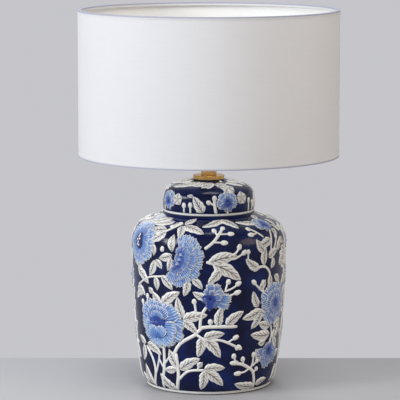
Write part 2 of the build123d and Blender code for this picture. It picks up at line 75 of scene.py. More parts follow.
# %% [markdown]
# ## Writing shader maths as sums
# A shader is a graph of nodes, and a graph of forty Math nodes is hard to read. A small class
# that wraps one socket lets a line such as `1 - mask` add its own node. Every other node goes
# through one method, which takes the node's kind, its settings and its sockets.

# %% Sums on sockets
class Wire:
    """A value that changes over a surface: a number, a colour or a place."""

    def __init__(self, finish, socket):
        self.finish, self.socket = finish, socket

    def maths(self, operation, *values):
        sockets = dict(enumerate(values))
        return self.finish.node("Math", {"operation": operation}, sockets)

    def __add__(self, other): return self.maths("ADD", self, other)
    def __radd__(self, other): return self + other
    def __sub__(self, other): return self.maths("SUBTRACT", self, other)
    def __rsub__(self, other): return self.maths("SUBTRACT", other, self)
    def __mul__(self, other): return self.maths("MULTIPLY", self, other)
    def __pow__(self, other): return self.maths("POWER", self, other)
    def __lt__(self, other): return self.maths("LESS_THAN", self, other)
    def __abs__(self): return self.maths("ABSOLUTE", self)
    def most(self, other): return self.maths("MAXIMUM", self, other)
    def wave(self): return self.maths("SINE", self)
    def part(self): return self.maths("FRACT", self)

    def rise(self, low, high):
        """0 below low, 1 above high, and smooth between them."""
        sockets = {"Value": self, "From Min": low, "From Max": high}
        return self.finish.node("MapRange", {"interpolation_type": "SMOOTHSTEP"}, sockets)


# %% One finish
class Finish:
    """A procedural material, from which a piece takes its look."""

    def __init__(self, name):
        self.material = bpy.data.materials.new(name)
        self.material.use_nodes = True
        self.tree = self.material.node_tree
        self.shader = self.tree.nodes["Principled BSDF"]

    def node(self, kind, settings=None, sockets=None, out=0):
        made = self.tree.nodes.new("ShaderNode" + kind)
        for name, value in (settings or {}).items():
            if name == "stops":
                self.set_stops(made.color_ramp, value)
            else:
                setattr(made, name, value)
        for name, value in (sockets or {}).items():
            self.feed(made.inputs[name], value)
        return Wire(self, made.outputs[out])

    def set_stops(self, ramp, stops):
        while len(ramp.elements) < len(stops):
            ramp.elements.new(0.5)
        for element, (place, colour) in zip(ramp.elements, stops):
            element.position, element.color = place, (*colour, 1)

    def feed(self, socket, value):
        if isinstance(value, Wire):
            self.tree.links.new(value.socket, socket)
        else:
            socket.default_value = value

    def surface(self, **sockets):
        for name, value in sockets.items():
            self.feed(self.shader.inputs[name.replace("_", " ")], value)

    def place(self, stretch=(1, 1, 1)):
        """The point of the surface in the lamp's own frame, in metres."""
        own = self.node("TexCoord", out="Object")
        return self.node("Mapping", {}, {"Vector": own, "Scale": stretch})

    def split(self, vector):
        return [self.node("SeparateXYZ", {}, {0: vector}, out=i) for i in range(3)]

    def noise(self, scale, detail, stretch=(1, 1, 1), where=None):
        vector = where or self.place(stretch)
        return self.node("TexNoise", {}, {"Vector": vector, "Scale": scale, "Detail": detail})

    def own_map(self, name):
        """The flat map that a piece carries."""
        return self.node("UVMap", {"uv_map": name})

    def stored(self, name):
        """A number kept at each corner of a piece."""
        return self.node("Attribute", {"attribute_name": name}, out="Fac")

    def ramp(self, value, stops):
        return self.node("ValToRGB", {"stops": stops}, {"Fac": value})

    def mix(self, share, first, second):
        """A colour between two colours."""
        first, second = ((*c, 1) if isinstance(c, tuple) else c for c in (first, second))
        sockets = {0: share, 6: first, 7: second}
        return self.node("Mix", {"data_type": "RGBA"}, sockets, out=2)

    def bump(self, height, depth, strength):
        """Small hollows and ridges. depth is the real depth in metres."""
        sockets = {"Height": height, "Distance": depth, "Strength": strength}
        return self.node("Bump", {}, sockets)

    def dress(self, *nodes):
        """Gives this finish to CAD nodes."""
        for name in nodes:
            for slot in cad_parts[name].material_slots:
                slot.material = self.material
        print(self.material.name, "on", ", ".join(nodes))


# %% [markdown]
# ## The dark glaze
# The ground between the flowers is painted with cobalt and iron under a clear glaze. Where the
# glaze lies thick it is nearly black, and where it runs thin it is a deep blue. The unglazed
# foot and the lid's rim stay white. They are bands at known heights, so the height of a
# point picks its colour, with no texture to draw.

# %% Glaze for the jar and the lid
def glazed(name, bare_top, full_height, inner_wall):
    """Dark glaze, with bare clay below bare_top and on the inside.

    inner_wall holds (share of full_height, radius in m): a point nearer the axis is inside.
    """
    glaze = Finish(name)
    x, y, z = glaze.split(glaze.place())
    pooled = glaze.noise(28, 4)
    colour = glaze.ramp(pooled, [
        (0.30, (0.0008, 0.003, 0.022)), (0.52, (0.0012, 0.006, 0.054)), (0.72, (0.004, 0.017, 0.115))])
    reach = (x * x + y * y) ** 0.5
    uneven_edge = glaze.noise(160, 2) * 0.0006
    bare = z + uneven_edge < bare_top
    wall_reach = glaze.ramp(z * (1 / full_height), [(share, (r, r, r)) for share, r in inner_wall])
    bare = bare.most(reach < wall_reach)
    grain = glaze.noise(900, 2)
    clay = glaze.mix(grain, (0.66, 0.67, 0.66), (0.80, 0.80, 0.77))
    dirt = glaze.noise(45, 3).rise(0.52, 0.75) * 0.25
    clay = glaze.mix(dirt, clay, (0.50, 0.49, 0.45))
    smears = glaze.noise(60, 3).rise(0.35, 0.8)
    ripple = glaze.noise(95, 2) * 0.7 + glaze.noise(420, 2) * 0.3
    glaze.surface(
        Base_Color=glaze.mix(bare, colour, clay),
        Roughness=bare * 0.42 + (1 - bare) * (0.10 + smears * 0.12),
        Specular_IOR_Level=0.24,
        Normal=glaze.bump(ripple + bare * grain * 0.2, 0.0008, 0.7),
    )
    return glaze


jar_inside = [(0.0, 0.088), (0.10, 0.092), (0.13, 0.098), (0.35, 0.104), (0.62, 0.111),
              (0.75, 0.113), (0.81, 0.106), (0.86, 0.089), (0.885, 0.066)]
lid_inside = [(0.0, 0.066), (0.90, 0.066), (0.925, 0.060), (0.94, 0.040), (0.95, 0.0)]
foot_top = 0.0050
rim_band_top = 0.2732
glazed("jar_glaze", foot_top, 0.3, jar_inside).dress("jar_body")
glazed("lid_glaze", rim_band_top, 0.33, lid_inside).dress("jar_lid")

# %% [markdown]
# ## Brass, steel and the rest
# Turned brass shows fine rings round its axis from the lathe. The sine of the distance
# from the axis gives those rings on a flat face, and the height gives them on a side.

# %% Turned metals
lathe_waves = 5200  # radians for each metre, which is a ring every 1.2 mm


def turned_metal(name, colour, worn, rough):
    """A metal with a lathe's fine rings, duller where it is worn."""
    metal = Finish(name)
    x, y, z = metal.split(metal.place())
    reach = (x * x + y * y) ** 0.5
    lathe = ((reach + z * 0.9) * lathe_waves + metal.noise(70, 2) * 4).wave()
    wear = metal.noise(60, 4).rise(0.45, 0.80)
    fine = metal.noise(700, 3)
    metal.surface(
        Base_Color=metal.mix(wear * 0.35 + fine * 0.15, colour, worn),
        Metallic=1.0,
        Roughness=rough + wear * 0.10 + fine * 0.05,
        Normal=metal.bump(lathe * 0.7 + fine * 0.3, 0.00002, 0.5),
    )
    return metal


turned_metal("satin_brass", (0.66, 0.40, 0.13), (0.36, 0.20, 0.06), 0.22).dress(
    "neck_collar", "neck_stem", "holder_cup", "holder_skirt", "shade_ring",
    "terminal_screws", "centre_contact")
turned_metal("zinc_steel", (0.56, 0.57, 0.58), (0.36, 0.36, 0.36), 0.30).dress(
    "base_washer", "base_nut", "threaded_tube", "check_nut", "grub_screw")
turned_metal("nickel_plate", (0.68, 0.66, 0.61), (0.48, 0.46, 0.42), 0.20).dress(
    "screw_shell", "bulb_tip", "bulb_cap")


# %% [markdown]
# ## Plastics, rubber, felt and wire
# Each is nearly one colour, with a grain of its own: moulded plastic has a fine even texture,
# rubber a bloom of pale dust, felt tangled hairs, and painted wire a slight orange peel.

# %% Plain finishes with a grain
def grained(name, dark, light, rough, grain, depth, spread=0.1, coat=0.0):
    plain = Finish(name)
    fine = plain.noise(grain, 3)
    broad = plain.noise(grain / 25, 3)
    plain.surface(
        Base_Color=plain.mix(fine * 0.5 + broad * 0.5, dark, light),
        Roughness=rough + broad * spread,
        Coat_Weight=coat,
        Normal=plain.bump(fine, depth, 0.8),
    )
    return plain


grained("black_rubber", (0.025, 0.025, 0.026), (0.075, 0.074, 0.072), 0.62, 2200, 0.00004).dress(
    "cord_grommet", "base_gasket", "neck_gasket")
grained("clear_silicone", (0.62, 0.62, 0.60), (0.78, 0.78, 0.75), 0.42, 900, 0.00002).dress(
    "shade_washer")
grained("grey_felt", (0.05, 0.05, 0.055), (0.20, 0.20, 0.21), 0.92, 1500, 0.00030, 0.05).dress(
    "foot_felt", "lid_gasket")
grained("black_moulding", (0.010, 0.010, 0.011), (0.030, 0.030, 0.032), 0.28, 1800, 0.00002).dress(
    "switch_bar", "bulb_insulator")
grained("white_moulding", (0.68, 0.68, 0.66), (0.80, 0.80, 0.78), 0.38, 1800, 0.00002).dress(
    "switch_block", "bulb_housing")
grained("white_porcelain", (0.70, 0.69, 0.65), (0.82, 0.81, 0.77), 0.22, 600, 0.00003, 0.1, 0.5).dress(
    "holder_core")
grained("painted_wire", (0.70, 0.70, 0.69), (0.82, 0.82, 0.81), 0.34, 1100, 0.00004).dress(
    "shade_fitter", "shade_top_wire")
grained("shade_card", (0.84, 0.84, 0.83), (0.90, 0.90, 0.88), 0.55, 500, 0.00003).dress(
    "shade_lining")

# %% Opal glass for the bulb
opal = Finish("opal_glass")
cloud = opal.noise(60, 3)
opal.surface(
    Base_Color=opal.mix(cloud, (0.80, 0.80, 0.78), (0.88, 0.88, 0.86)),
    Roughness=0.26 + cloud * 0.1,
    Subsurface_Weight=0.35,
    Subsurface_Radius=(0.01, 0.01, 0.009),
    Coat_Weight=0.3,
    Normal=opal.bump(opal.noise(300, 2), 0.00003, 0.5),
)
opal.dress("bulb_globe")


# %% [markdown]
# ## The cloth of the shade
# A drum shade is a strip of cotton stuck to a stiff white card. The strip is cut a little
# longer than the card is round, so its ends lap at the back. A flat strip rolled into a drum
# gives just that, where a cylinder would have no seam.

# %% Small helpers for modelling by hand
def start_clean():
    """An operator acts on all that is selected, so each piece starts from nothing selected."""
    bpy.ops.object.select_all(action="DESELECT")


def pick(test):
    """In edit mode, selects the corners whose place passes the test."""
    bpy.ops.mesh.select_all(action="DESELECT")
    shape = bmesh.from_edit_mesh(bpy.context.edit_object.data)
    for corner in shape.verts:
        corner.select_set(bool(test(corner.co)))
    shape.select_flush(True)
    bmesh.update_edit_mesh(bpy.context.edit_object.data)


def pick_all():
    bpy.ops.mesh.select_all(action="SELECT")


def edit_mode(on=True):
    bpy.ops.object.mode_set(mode="EDIT" if on else "OBJECT")


# %% The weave
linen = Finish("shade_cotton")
cloth_map = linen.own_map("cloth")
across, along, _ = linen.split(cloth_map)
threads = (across * 9000).wave() * (along * 9000).wave()


def slub(stretch):
    """Thick places in the yarn, drawn out one way."""
    drawn = linen.node("Mapping", {}, {"Vector": cloth_map, "Scale": stretch})
    return linen.noise(1, 3, where=drawn)


slubs = slub((26, 520, 1)) * 0.6 + slub((520, 26, 1)) * 0.4
broad = linen.noise(7, 3)
linen.surface(
    Base_Color=linen.mix(slubs * 0.6 + broad * 0.4, (0.66, 0.66, 0.68), (0.78, 0.78, 0.79)),
    Roughness=0.80 + slubs * 0.12,
    Sheen_Weight=0.15,
    Normal=linen.bump(threads * 0.5 + slubs, 0.00012, 0.5),
)

# %% Cut the strip
lap = 0.012
lap_slope = 0.016
lap_rise = 0.0005
cloth_thickness = 0.0004
cloth_reach = 0.19925
cloth_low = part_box("shade_cover")[0].z
cloth_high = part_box("shade_cover")[1].z
cloth_height = cloth_high - cloth_low
cloth_length = 2 * pi * cloth_reach + lap
start_clean()
bpy.ops.mesh.primitive_grid_add(x_subdivisions=240, y_subdivisions=12, size=1)
cloth = bpy.context.object
cloth.name = "shade_cloth"
cloth.data.uv_layers[0].name = "cloth"
edit_mode()
pick_all()
bpy.ops.transform.resize(value=(cloth_length, cloth_height, 1))
edit_mode(False)
print("strip:", round(cloth_length, 4), "by", round(cloth_height, 4), "m")


# %% Roll the strip round the card and give it a thickness
def roll(piece, reach, length, middle):
    """Moves a flat strip's corners into a drum, with a lap at the back whose end lies on top."""
    shape = piece.data
    for corner in shape.vertices:
        run, up, _ = corner.co
        turn = run / reach
        over = max(0.0, (run - (length / 2 - lap_slope)) / lap_slope)
        far = reach + lap_rise * min(1.0, over * 2.5)
        corner.co = (far * sin(turn), -far * cos(turn), middle + up)
    shape.update()


cloth_middle = (cloth_low + cloth_high) / 2
roll(cloth, cloth_reach, cloth_length, cloth_middle)
for corner in cloth.data.uv_layers["cloth"].data:
    corner.uv = (corner.uv[0] * cloth_length, corner.uv[1] * cloth_height)
solid = cloth.modifiers.new("thickness", "SOLIDIFY")
solid.thickness = cloth_thickness
solid.offset = 1
bpy.context.view_layer.objects.active = cloth
bpy.ops.object.modifier_apply(modifier="thickness")
bpy.ops.object.shade_smooth_by_angle(angle=radians(30))
cloth.data.materials.append(linen.material)
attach(cloth, "shade")
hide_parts("shade_cover")
print("cloth faces:", len(cloth.data.polygons))

# %% [markdown]
# The rolled edges are cotton tape. It matches the cover, apart from the outermost fold, where a fine
# grey-blue line of painted shade is drawn. The height of a point says which fold it is on.

# %% Tape on the two rims
tape = Finish("rim_tape")
_, _, z = tape.split(tape.place())
fine = tape.noise(1900, 3)
# Painted shade: the outermost fold of each rolled rim is coloured as a thin grey-blue line.
shade_line_width = 0.0021
rim_reach = (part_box("shade_trim_top")[1].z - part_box("shade_trim_bottom")[0].z) / 2
from_rim = rim_reach - abs(z - cloth_middle)
unshaded_tape = tape.mix(fine, (0.62, 0.62, 0.64), (0.74, 0.74, 0.75))
tape.surface(
    Base_Color=tape.mix(from_rim.rise(shade_line_width * 0.8, shade_line_width * 1.2), (0.41, 0.42, 0.51), unshaded_tape),
    Roughness=0.82 + fine * 0.1,
    Normal=tape.bump(fine, 0.0001, 0.8),
)
tape.dress("shade_trim_top", "shade_trim_bottom")
print("tape's rims:", round(cloth_middle - rim_reach, 4), round(cloth_middle + rim_reach, 4), "m")

# %% [markdown]
# ## Measuring the wall that carries the flowers
# Each flower is laid on the wall by an angle round the jar and a distance up its outline,
# as a decorator would mark it with a tape. Rays cast at the CAD wall from outside find the
# outline, so a flower sits on the wall wherever the CAD puts that.

# %% The outline of a wall
class Wall:
    """A turned wall: distance up its outline, in mm, gives its radius, height and slope."""

    rays = 420
    ray_start = 0.4
    slope_step = 1.5

    def __init__(self, node, middle, low, high, zero):
        """Rays aim at a point on the axis, from low to high degrees. zero is where up is 0, in mm."""
        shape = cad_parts[node]
        found = []
        for tilt in np.radians(np.linspace(low, high, self.rays)):
            way = Vector((0, -cos(tilt), sin(tilt)))
            start = Vector((0, 0, middle)) + way * self.ray_start
            hit, point, _, _ = shape.ray_cast(start, -way)
            if hit:
                found.append((-point.y * 1000, point.z * 1000))
        self.line = np.array(found)
        paces = np.hypot(*np.diff(self.line, axis=0).T)
        self.up = np.concatenate([[0], np.cumsum(paces)])
        self.length = self.up[-1]
        foot = slice(0, 60)
        self.up = self.up - np.interp(zero, self.line[foot, 1], self.up[foot])

    def reach(self, up):
        return np.interp(up, self.up, self.line[:, 0])

    def height(self, up):
        return np.interp(up, self.up, self.line[:, 1])

    def point(self, turn, up, lift):
        """Points on the wall, lifted off it, in metres."""
        r, z = self.reach(up), self.height(up)
        above, below = up + self.slope_step, up - self.slope_step
        dr = self.reach(above) - self.reach(below)
        dz = self.height(above) - self.height(below)
        size = np.hypot(dr, dz) + 1e-9
        r, z = r + dz / size * lift, z - dr / size * lift
        a = np.radians(turn)
        return np.stack([r * np.sin(a), -r * np.cos(a), z], axis=1) / 1000


jar = Wall("jar_body", 0.150, -56.4, 58.6, 5.5)
lid = Wall("jar_lid", 0.285, -12.0, 51.0, 270.0)
print("jar outline:", round(jar.length), "mm, widest", round(jar.line[:, 0].max(), 1), "mm")
print("lid outline:", round(lid.length), "mm, widest", round(lid.line[:, 0].max(), 1), "mm")


# %% [markdown]
# ## Leaves, petals, stems and berries, one of each
# The maker presses each leaf from the same few moulds. Here too each shape is modelled
# once, flat, two units long and two wide, and every copy is wrapped on the wall later.
# A grid is raised row by row into ribs and drawn in column by column to the leaf's outline,
# and one extrusion downwards closes it.

# %% Blank for a mould
def blank(name, columns, rows):
    """A flat grid, in edit mode, whose long side runs from the stalk to the tip."""
    start_clean()
    bpy.ops.mesh.primitive_grid_add(x_subdivisions=columns, y_subdivisions=rows, size=2)
    shape = bpy.context.object
    shape.name = name
    shape.data.uv_layers[0].name = "pressed"
    edit_mode()
    return shape


def near(value, place):
    return abs(value - place) < 0.001


def stretch(x, y, z, about=0):
    bpy.ops.transform.resize(value=(x, y, z), center_override=(about, 0, 0))


def narrow_column(place, width):
    """Draws one column of a blank in to a half width."""
    pick(lambda p: near(p.x, place))
    stretch(1, width, 1, place)


def close_mould(depth):
    """Extrudes the pressed face downwards into a closed piece with a slightly wider foot."""
    pick_all()
    bpy.ops.mesh.extrude_region_move(TRANSFORM_OT_translate={"value": (0, 0, -depth)})
    stretch(1.08, 1.22, 1)
    pick_all()
    bpy.ops.mesh.normals_make_consistent(inside=False)
    edit_mode(False)
    bpy.ops.object.shade_smooth()


# %% Mark which corners lie on the rim
def mark_rim(shape):
    """rim is 0 inside, 1 along the top edge and 2 at the foot, so a finish can paint an edge."""
    rim = shape.data.attributes.new("rim", "FLOAT", "POINT")
    shape.data.attributes.new("tint", "FLOAT", "POINT")
    copy = bmesh.new()
    copy.from_mesh(shape.data)
    for corner in copy.verts:
        downward = any(face.normal.z < -0.5 for face in corner.link_faces)
        upward = any(face.normal.z > 0.35 for face in corner.link_faces)
        sideways = any(abs(face.normal.z) < 0.6 for face in corner.link_faces)
        rim.data[corner.index].value = 2.0 if downward else float(upward and sideways)
    loose = sum(not edge.is_manifold for edge in copy.edges)
    copy.free()
    print(shape.name, "faces:", len(shape.data.polygons), "open edges:", loose)
    return shape


# %% The leaves
def leaf_mould(name, columns, widths, heights=(0.45, 1.0, 0.75, 1.0, 0.45)):
    """widths are the half widths from stalk to tip."""
    shape = blank(name, columns, 4)
    places = [-1 + 2 * i / columns for i in range(columns + 1)]
    for row, height in zip((-1, -0.5, 0, 0.5, 1), heights):
        pick(lambda p: near(p.y, row))
        bpy.ops.transform.translate(value=(0, 0, height))
    for place, width in zip(places, widths):
        narrow_column(place, width)
    pick(lambda p: near(abs(p.x), 1))
    stretch(1, 1, 0.5)
    close_mould(0.8)
    return mark_rim(shape)


plain_leaf = leaf_mould("plain_leaf", 8, (0.10, 0.50, 0.82, 0.98, 1.0, 0.90, 0.66, 0.34, 0.03))
toothed_leaf = leaf_mould(
    "toothed_leaf", 12,
    (0.10, 0.50, 0.80, 1.02, 0.90, 0.94, 0.98, 0.82, 0.70, 0.66, 0.46, 0.26, 0.02))

# %% The stem
stem_mould = leaf_mould("stem_mould", 14, (1.0,) * 14 + (0.75,), (0.10, 0.85, 1.10, 0.85, 0.10))

# %% The petals
def petal_mould(name, widths, scallop, ruffle):
    """A petal widens from its foot, and its far edge is waved in and out and up and down."""
    columns, rows = len(widths) - 1, 8
    shape = blank(name, columns, rows)
    for i, width in enumerate(widths):
        narrow_column(-1 + 2 * i / columns, width)
        cup = 0.55 + 0.9 * sin(pi * (i / columns) ** 1.3) * 0.6
        bpy.ops.transform.translate(value=(0, 0, cup))
    last_but_one = -1 + 2 * (columns - 1) / columns
    for j in range(rows + 1):
        side = -1 + 2 * j / rows
        wave = cos(4 * pi * side)
        back = -0.42 * side * side + scallop * wave
        for place, width, share in ((1.0, widths[-1], 1.0), (last_but_one, widths[-2], 0.6)):
            pick(lambda p: near(p.x, place) and abs(p.y - side * width) < 0.01)
            bpy.ops.transform.translate(value=(share * back, 0, share * (ruffle * wave + 0.25)))
    close_mould(1.2)
    return mark_rim(shape)


wide_petal = petal_mould("wide_petal", (0.28, 0.52, 0.76, 0.93, 1.0, 0.98, 0.86), 0.09, 0.34)
round_petal = petal_mould("round_petal", (0.24, 0.56, 0.84, 1.0, 0.96, 0.74), 0.03, 0.12)
pointed_petal = petal_mould("pointed_petal", (0.30, 0.66, 0.92, 1.0, 0.80, 0.40), 0.02, 0.20)

# %% The berries and bosses
def boss_mould(name, collar):
    """A ball pressed half into the wall, with a thin collar behind a berry."""
    start_clean()
    bpy.ops.mesh.primitive_uv_sphere_add(segments=14, ring_count=8, radius=0.8 if collar else 1)
    shape = bpy.context.object
    shape.name = name
    shape.data.uv_layers[0].name = "pressed"
    edit_mode()
    pick_all()
    bpy.ops.mesh.bisect(plane_co=(0, 0, -0.15), plane_no=(0, 0, 1), clear_inner=True, use_fill=True)
    pick_all()
    stretch(1, 1, 2.2)
    edit_mode(False)
    bpy.ops.object.shade_smooth()
    mark_rim(shape)
    if collar:
        bpy.ops.mesh.primitive_cylinder_add(vertices=14, radius=1, depth=1.2, location=(-0.28, 0, 0.2))
        ring = bpy.context.object
        ring.data.uv_layers[0].name = "pressed"
        edit_mode()
        pick(lambda p: p.z > 0)
        bpy.ops.transform.resize(value=(0.82, 0.82, 1))
        edit_mode(False)
        bpy.ops.object.transform_apply(location=True)
        bpy.ops.object.shade_smooth()
        mark_rim(ring)
        start_clean()
        ring.select_set(True)
        shape.select_set(True)
        bpy.context.view_layer.objects.active = shape
        bpy.ops.object.join()
    return shape


berry_mould = boss_mould("berry_mould", True)
boss = boss_mould("boss_mould", False)
moulds = [plain_leaf, toothed_leaf, stem_mould, wide_petal, round_petal, pointed_petal,
          berry_mould, boss]

# %% [markdown]
# ## Laying a copy on the wall
# A copy follows a line drawn on the wall: its length runs along the line, its width to
# both sides, and its height straight out of the wall. Bent lines give curved stems.
# Each copy has its own mesh, and the copies of a group are joined at the end.

# %% Walk along a line on the wall
def smooth_line(points):
    """A curve through points of (degrees round, mm up). Two points give a straight line."""
    p = np.array(points, float)
    if len(p) == 2:
        return p[0] + np.linspace(0, 1, 40)[:, None] * (p[1] - p[0])
    p = np.vstack([2 * p[0] - p[1], p, 2 * p[-1] - p[-2]])
    t = np.linspace(0, 1, 24)[:, None]
    runs = []
    for a, b, c, d in zip(p, p[1:], p[2:], p[3:]):
        square, cube = 2 * a - 5 * b + 4 * c - d, 3 * b - a - 3 * c + d
        runs.append(0.5 * (2 * b + (c - a) * t + square * t**2 + cube * t**3))
    return np.vstack([runs[0][:1]] + [run[1:] for run in runs])


# %% Wrap one copy
laid = {}


def lay(group, mould, points, width, wall=jar, lift=0.0, tall=1.0, tint=0.0, turn=0.0):
    """Copies a mould along a line on a wall. width, lift and tall are in mm."""
    line = smooth_line(points)
    line[:, 0] += turn
    round_mm = np.radians(np.diff(line[:, 0])) * wall.reach((line[1:, 1] + line[:-1, 1]) / 2)
    far = np.concatenate([[0], np.cumsum(np.hypot(round_mm, np.diff(line[:, 1])))])
    flat = np.array([v.co for v in mould.data.vertices])
    along = (flat[:, 0] + 1) / 2 * far[-1]

    def at(distance):
        return [np.interp(distance, far, line[:, i]) for i in (0, 1)]

    angle, height = at(along)
    ends = along - np.clip(along, 0, far[-1])
    ahead = [after - before for after, before in zip(at(along + 1), at(along - 1))]
    way = np.stack([np.radians(ahead[0]) * wall.reach(height), ahead[1]], axis=1)
    way /= np.linalg.norm(way, axis=1)[:, None] + 1e-9
    side = flat[:, 1] * width / 2
    round_off = way[:, 0] * ends - way[:, 1] * side
    up = height + way[:, 1] * ends + way[:, 0] * side
    turned = angle + np.degrees(round_off / wall.reach(up))
    mesh = mould.data.copy()
    places = wall.point(turned, up, flat[:, 2] * tall + lift)
    mesh.vertices.foreach_set("co", places.astype(np.float32).ravel())
    mesh.attributes["tint"].data.foreach_set("value", np.full(len(flat), tint, np.float32))
    mesh.update()
    copy = bpy.data.objects.new(group, mesh)
    scene.collection.objects.link(copy)
    laid.setdefault(group, []).append(copy)


# %% [markdown]
# ## The branches
# The pattern is drawn as a decorator would: first the stems that climb from the foot, then
# the leaves in twos and threes at each fork, then berries on short twigs. Numbers are degrees
# round the jar from its front and millimetres up the wall. The same panel is laid twice, front
# and back, as a two-part mould leaves it.

# %% Stems on the jar: width, then points
stems = [
    (5.4, [(-29, 1), (-26, 24), (-26, 38), (-27, 62)]), (3.8, [(-26, 20), (-17, 35), (-4, 38)]),
    (5.0, [(-56, 0), (-50, 26), (-52, 49), (-59, 66)]), (3.6, [(-49, 26), (-44, 50), (-44, 66)]),
    (5.0, [(-44, 2), (-39, 40), (-38, 76)]), (3.2, [(-39, 42), (-31, 60)]),
    (3.2, [(-39, 34), (-44, 50)]),
    (5.2, [(-30, 56), (-23, 78), (-10, 94), (-6, 104), (6, 106), (22, 105)]),
    (4.4, [(-7, 100), (-6, 120), (-3, 133), (3, 146)]),
    (3.8, [(-10, 94), (-3, 86), (8, 85), (15, 80), (23, 72)]), (2.8, [(14, 80), (21, 88)]),
    (4.8, [(43, 2), (39, 30), (34, 38), (27, 45), (18, 48)]), (2.8, [(22, 47), (20, 60)]),
    (2.8, [(29, 43), (28, 53)]), (2.8, [(35, 37), (30, 32), (23, 31)]),
    (3.2, [(36, 36), (38, 46), (38, 58)]), (2.6, [(38, 40), (42, 46)]), (2.6, [(39, 28), (42, 34)]),
    (4.0, [(-2, 205), (3, 203), (10, 200)]), (3.2, [(14, 212), (20, 218), (23, 227)]),
    (3.0, [(13, 208), (20, 210), (27, 218)]), (4.4, [(-3, 225), (4, 237), (12, 260)]),
    (2.8, [(7, 244), (4, 256)]), (2.8, [(9, 248), (18, 248)]), (2.8, [(4, 235), (12, 234)]),
    (4.0, [(-41, 244), (-32, 258), (-26, 272)]), (3.0, [(-66, 160), (-51, 175), (-36, 180)]),
    (3.0, [(-54, 132), (-53, 146)]), (3.0, [(-58, 122), (-60, 136)]),
    (3.4, [(-10, 118), (-10, 131), (-11, 146)]), (3.0, [(1, 105), (1, 115)]),
    (2.8, [(12, 160), (14, 175)]), (2.8, [(12, 160), (18, 165), (22, 171)]),
    (2.8, [(15, 153), (22, 158)]), (3.4, [(55, 106), (58, 82), (52, 60)]),
    (3.2, [(50, 146), (42, 158), (35, 171)]), (2.8, [(45, 152), (44, 169)]),
    (4.0, [(33, 191), (45, 193), (51, 184), (52, 174)]), (2.6, [(30, 206), (30, 218)]),
    (3.0, [(35, 255), (40, 248), (46, 238)]), (2.6, [(33, 244), (40, 245)]),
    (3.6, [(57, 250), (53, 222), (55, 200)]), (3.0, [(64, 246), (59, 226), (56, 214)]),
    (3.0, [(-9, 37), (-8, 47)]), (4.6, [(76, 0), (80, 40), (78, 80), (82, 120)]),
    (3.6, [(80, 160), (76, 190), (79, 225), (76, 250)]),
    (3.4, [(-82, 2), (-84, 40), (-80, 84), (-84, 130)]),
]

